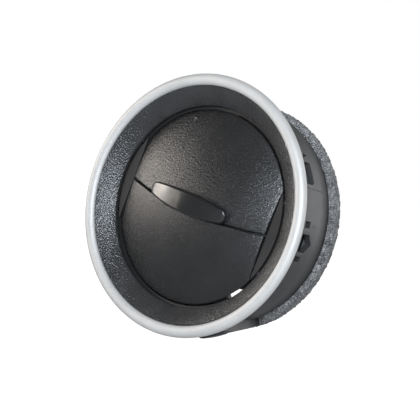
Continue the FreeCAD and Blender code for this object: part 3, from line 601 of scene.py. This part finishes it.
def flap_back(sizes, upper):
    """Bosses, ear and stud behind a flap."""
    half = sizes.flap_half_width / MM
    z = PIVOT_Z if upper else -PIVOT_Z
    shells = []
    for low, bore in ((half - 2.5, 1.25), (-half, 2.02)):
        points, faces = pipe(low, low + 2.5, PIVOT_Y, z, bore, 3.0)
        points[:, 1] = np.maximum(points[:, 1], dome(sizes, points[:, 0], points[:, 2], 0.8))
        shells.append((points, faces))
    top = z + STUD_UP
    if upper:
        loop = rounded([(1.6, top - 2.3, 0.2), (STUD_Y + 2.3, top - 2.3, 2.2), (STUD_Y + 2.3, top + 2.3, 2.2),
                        (1.6, top + 2.3, 0.2)], 8)
    else:
        loop = rounded([(-0.4, -8.6, 0.4), (STUD_Y + 0.9, top - 3.1, 1.0), (STUD_Y + 3.2, top + 0.8, 2.0),
                        (STUD_Y - 1.1, top + 3.2, 2.0), (-0.4, -3.6, 0.4)], 8)
    shells.append(slab(loop, -13.8, -12.2, 0.2, 0))
    shells.append(slab(disc_loop(STUD_Y, top, 1.15), -15.8, -13.4, 0.1, 0))
    shells.append(slab(disc_loop(STUD_Y, top, 1.6), -16.2, -15.6, 0.15, 0))
    return shells


class VENT_OT_flaps(bpy.types.Operator):
    """Flaps: two domed halves with a fine grain"""
    bl_idname = "vent.flaps"
    bl_label = "Flaps"

    def execute(self, context):
        sizes, looks = context.scene.vent_sizes, context.scene.vent_finishes
        grain = grained("flap_grain", looks.flaps, 2200.0, 0.0001, 0.24)
        upper = [flap_plate(sizes, True), *flap_back(sizes, True)]
        build("upper_flap_shell", upper, grain, "upper", "upper_flap", 35)
        lower = [flap_plate(sizes, False), *flap_back(sizes, False), lap_band(sizes, -29.0, -16.6),
                 lap_band(sizes, -13.8, 29.0)]
        build("lower_flap_shell", lower, grain, "lower", "lower_flap", 35)
        return {"FINISHED"}


class VENT_OT_finger_tab(bpy.types.Operator):
    """Finger tab: a bowed bar with a convex face, a rounded edge and a leg behind"""
    bl_idname = "vent.finger_tab"
    bl_label = "Finger Tab"

    def execute(self, context):
        sizes, looks = context.scene.vent_sizes, context.scene.vent_finishes
        half, e = sizes.tab_half_length / MM, sizes.tab_round / MM
        top, top_radius, low, low_radius = 3.9, 105.6, 3.3, 73.0
        ahead, face_radius = 7.6, 44.0
        centre = np.array([0.0, 0.4])
        t = np.linspace(0, 2 * np.pi, 540, endpoint=False)

        def outline(inset):
            slant = half - 1.1
            circles = [(0, top - top_radius, top_radius - inset, True),
                       (0, low_radius - low, low_radius - inset, True)]
            lines = [(1, 0, half - inset), (-1, 0, half - inset)]
            lines += [(x, 1, slant + 2.8 - inset * 1.414) for x in (1, -1)]
            lines += [(x, -1, slant + 1.7 - inset * 1.414) for x in (1, -1)]
            far = reach(centre, t, circles, lines, 0.06)
            return centre + far[:, None] * np.stack([np.cos(t), np.sin(t)], -1)

        def face(flat, depth):
            return face_radius - ahead - np.sqrt(face_radius ** 2 - flat[:, 0] ** 2) + depth

        def ring(flat, y):
            return np.stack([flat[:, 0], y, flat[:, 1]], -1)

        rings = [ring(centre + (outline(e) - centre) * s, face(centre + (outline(e) - centre) * s, 0))
                 for s in np.linspace(0, 1, 20)[1:]]
        for q in np.linspace(0, np.pi / 2, 7)[1:]:
            flat = outline(e * (1 - np.sin(q)))
            rings.append(ring(flat, face(flat, e * (1 - np.cos(q)))))
        for inset, lift in ((0, -0.5), (0.15, -0.3)):
            flat = outline(inset)
            rings.append(ring(flat, dome(sizes, flat[:, 0], flat[:, 1], lift)))
        flat = outline(0.15)
        for s in np.linspace(0.9, 0.1, 6):
            inner = centre + (flat - centre) * s
            rings.append(ring(inner, dome(sizes, inner[:, 0], inner[:, 1], -0.3)))
        leg = slab(box_loop((-9.0, 0.2), (9.0, 2.0), 0.3), -5.6, 1.54, 0.2, 1)
        build("finger_tab_bar", [capped(np.array(rings)), leg], smooth_plastic("tab_gloss", looks.tab, 0.2),
              "upper", "finger_tab", 50)
        return {"FINISHED"}


# Angle about the vent's axis, front end and rear end of each line
MOULD_LINES = ((30, 8.2, 18.5), (12, 12.5, 16.5), (-2.5, 12.5, 16.2), (-20.5, 10.5, 15.5))


class VENT_OT_housing(bpy.types.Operator):
    """Housing: barrel, shoulder and collar in moulded black"""
    bl_idname = "vent.housing"
    bl_label = "Housing"

    def execute(self, context):
        looks = context.scene.vent_finishes
        plastic = barrel_plastic(looks.barrel)
        dress("housing", plastic)
        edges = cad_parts["housing"].modifiers.new("softened_edges", "BEVEL")
        edges.width, edges.segments, edges.limit_method = 0.12 * MM, 2, "ANGLE"
        edges.angle_limit = math.radians(50)
        lines = []
        for angle, front, rear in MOULD_LINES:
            loop = box_loop((38.9, front), (39.62, rear), 0.08)
            lines.append(swung(slab(loop, -0.15, 0.15, 0.06, 2), angle))
        build("barrel_mould_lines", lines, plastic, "frame", None)
        return {"FINISHED"}


# Points round the vent's axis and round the ring's section
FOAM_AROUND, FOAM_ACROSS = 900, 56


class VENT_OT_foam_seal(bpy.types.Operator):
    """Foam seal: an open-cell ring, its skin broken by pores"""
    bl_idname = "vent.foam_seal"
    bl_label = "Foam Seal"

    def execute(self, context):
        sizes, looks = context.scene.vent_sizes, context.scene.vent_finishes
        rim = sizes.foam_radius / MM
        bore, front, rear = 36.7, 25.6, 30.4
        path = rounded([(bore, front, 0.3), (rim, front, 1.5), (rim, rear, 1.5), (bore, rear, 0.3)], 10)
        span = np.linalg.norm(np.roll(path, -1, 0) - path, axis=1)
        way = np.concatenate([[0], np.cumsum(span)])
        place = np.linspace(0, way[-1], FOAM_ACROSS, endpoint=False)
        closed = np.concatenate([path, path[:1]])
        profile = np.stack([np.interp(place, way, closed[:, k]) for k in range(2)], -1)
        points, faces = turned(profile, FOAM_AROUND)
        radius = np.hypot(points[:, 0], points[:, 2])
        out = np.stack([points[:, 0] / radius, np.zeros(len(points)), points[:, 2] / radius], -1)
        lift = 0.6 * value_noise(points, 0.7, 3) + 0.4 * value_noise(points, 0.36, 5)
        depth = sizes.foam_relief / MM * np.clip(lift - 0.15, -1.0, 0.35)
        free = np.clip((radius - 37.0) / 0.6, 0, 1)
        ends = np.where(points[:, 1] < 27.2, -1.0, 1.0) * np.clip(abs(points[:, 1] - 28.0) - 1.4, 0, 1)
        points = points + (depth * free)[:, None] * (out + ends[:, None] * np.array([0, 1.0, 0]))
        piece = build("foam_ring", [(points, faces)], foam_material("foam_cells", looks.foam), "frame",
                      "foam_seal", 70)
        return {"FINISHED"}


class VENT_OT_fittings(bpy.types.Operator):
    """Fittings: carrier, pins, sleeves, link, stop pads and felt ring"""
    bl_idname = "vent.fittings"
    bl_label = "Fittings"

    def execute(self, context):
        looks = context.scene.vent_finishes
        dress("flap_carrier", smooth_plastic("carrier_plastic", scaled(looks.flaps, 1.3), 0.45, 0.000008))
        pins = steel("pin_steel", looks.metal)
        pads = smooth_plastic("pad_rubber", (0.02, 0.02, 0.02), 0.7, 0.00002)
        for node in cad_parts:
            if node.startswith("pivot_pin"):
                dress(node, pins)
            elif node.startswith("stop_pad") or node.startswith("friction_sleeve"):
                dress(node, pads)
        dress("link_rod", smooth_plastic("link_acetal", (0.55, 0.55, 0.52), 0.4))
        dress("felt_ring", felt_material("felt_fibres"))
        return {"FINISHED"}


# Stage

def softbox(name, azimuth, elevation, distance, width, height, power, colour):
    """Area lamp that faces the vent from an azimuth, where 0 is straight in front, and an elevation."""
    az, el = math.radians(azimuth), math.radians(elevation)
    away = np.array([math.sin(az) * math.cos(el), -math.cos(az) * math.cos(el), math.sin(el)])
    lamp = bpy.data.lights.new(name, "AREA")
    lamp.shape, lamp.size, lamp.size_y = "RECTANGLE", width, height
    lamp.energy, lamp.color = power, colour
    holder = bpy.data.objects.new(name, lamp)
    bpy.context.scene.collection.objects.link(holder)
    right = np.cross((0.0, 0.0, 1.0), away)
    right /= np.linalg.norm(right)
    up = np.cross(away, right)
    turn = Matrix(np.stack([right, up, away], 1).tolist()).to_4x4()
    holder.matrix_world = Matrix.Translation(away * distance) @ turn


class VENT_OT_stage(bpy.types.Operator):
    """Stage: pale floor, white surround, softboxes and camera"""
    bl_idname = "vent.stage"
    bl_label = "Stage"

    def execute(self, context):
        scene, stage = context.scene, context.scene.vent_stage
        scene.view_settings.view_transform = "Standard"
        world = bpy.data.worlds.new("white_surround")
        scene.world = world
        world.use_nodes = True
        nodes, links = world.node_tree.nodes, world.node_tree.links
        nodes.clear()
        path = nodes.new("ShaderNodeLightPath")
        sky = nodes.new("ShaderNodeBackground")
        sky.inputs["Color"].default_value = (1.0, 1.0, 1.0, 1.0)
        strength = nodes.new("ShaderNodeMapRange")
        strength.inputs["To Min"].default_value = stage.surround
        strength.inputs["To Max"].default_value = 1.0
        links.new(path.outputs["Is Camera Ray"], strength.inputs["Value"])
        links.new(strength.outputs["Result"], sky.inputs["Strength"])
        output = nodes.new("ShaderNodeOutputWorld")
        links.new(sky.outputs["Background"], output.inputs["Surface"])
        floor_mesh = bpy.data.meshes.new("pale_floor")
        span, drop = 6.0, -stage.floor_drop
        corners = [(-span, -span, drop), (span, -span, drop), (span, span, drop), (-span, span, drop)]
        floor_mesh.from_pydata(corners, [], [(0, 1, 2, 3)])
        floor = bpy.data.objects.new("pale_floor", floor_mesh)
        scene.collection.objects.link(floor)
        n = Nodes("pale_floor")
        mottled = n.noise(3.0, 2.0)
        seen = n.add("ShaderNodeLightPath").outputs["Is Camera Ray"]
        floor_mesh.materials.append(n.finish(Base_Color=n.tint(mottled, (0.5, 0.5, 0.5), (0.52, 0.52, 0.52)),
                                             Roughness=0.9, Emission_Color=(1.0, 1.0, 1.0, 1.0),
                                             Emission_Strength=n.ramp(seen, 0.0, 0.9)))
        warm, cool, white = (1.0, 0.93, 0.86), (0.84, 0.91, 1.0), (1.0, 1.0, 1.0)
        softbox("warm_softbox", -66, -5, 0.9, 0.34, 0.3, stage.warm_light, warm)
        softbox("fade_softbox", -47, -8, 0.9, 0.22, 0.2, stage.fade_light, warm)
        softbox("cool_softbox", 31, 15, 0.9, 0.38, 0.24, stage.cool_light, cool)
        softbox("side_softbox", 152, 24, 1.2, 0.8, 1.1, stage.side_light, white)
        camera_data = bpy.data.cameras.new("photo_camera")
        camera_data.lens, camera_data.sensor_width = 114.3, 36.0
        camera_data.clip_start, camera_data.clip_end = 0.01, 20.0
        camera = bpy.data.objects.new("photo_camera", camera_data)
        scene.collection.objects.link(camera)
        right, up, back = (0.7556, 0.5533, 0.3506), (-0.3354, -0.1329, 0.9326), (0.5626, -0.8223, 0.0851)
        place = (0.25891, -0.36857, 0.03888)
        rows = [*zip(right, up, back, place), (0.0, 0.0, 0.0, 1.0)]
        camera.matrix_world = Matrix(rows)
        scene.camera = camera
        return {"FINISHED"}


class VENT_PT_panel(bpy.types.Panel):
    """Panel with the vent's pieces"""
    bl_label = "Air Vent"
    bl_idname = "VENT_PT_panel"
    bl_space_type = "VIEW_3D"
    bl_region_type = "UI"
    bl_category = "Air Vent"

    def draw(self, context):
        for group in ("vent_sizes", "vent_finishes", "vent_stage"):
            settings = getattr(context.scene, group)
            for name in settings.__annotations__:
                self.layout.prop(settings, name)
        for operator in PIECES:
            self.layout.operator(operator.bl_idname)


PIECES = (VENT_OT_trim_ring, VENT_OT_bezel, VENT_OT_flaps, VENT_OT_finger_tab, VENT_OT_housing,
          VENT_OT_foam_seal, VENT_OT_fittings, VENT_OT_stage)
CLASSES = (VentSizes, VentFinishes, VentStage, *PIECES, VENT_PT_panel)


def register():
    for item in CLASSES:
        bpy.utils.register_class(item)
    bpy.types.Scene.vent_sizes = PointerProperty(type=VentSizes)
    bpy.types.Scene.vent_finishes = PointerProperty(type=VentFinishes)
    bpy.types.Scene.vent_stage = PointerProperty(type=VentStage)


def unregister():
    del bpy.types.Scene.vent_stage
    del bpy.types.Scene.vent_finishes
    del bpy.types.Scene.vent_sizes
    for item in reversed(CLASSES):
        bpy.utils.unregister_class(item)


def main():
    """Makes every piece in order."""
    register()
    bpy.ops.vent.trim_ring()
    bpy.ops.vent.bezel()
    bpy.ops.vent.flaps()
    bpy.ops.vent.finger_tab()
    bpy.ops.vent.housing()
    bpy.ops.vent.foam_seal()
    bpy.ops.vent.fittings()
    bpy.ops.vent.stage()


if __name__ == "__main__":
    main()
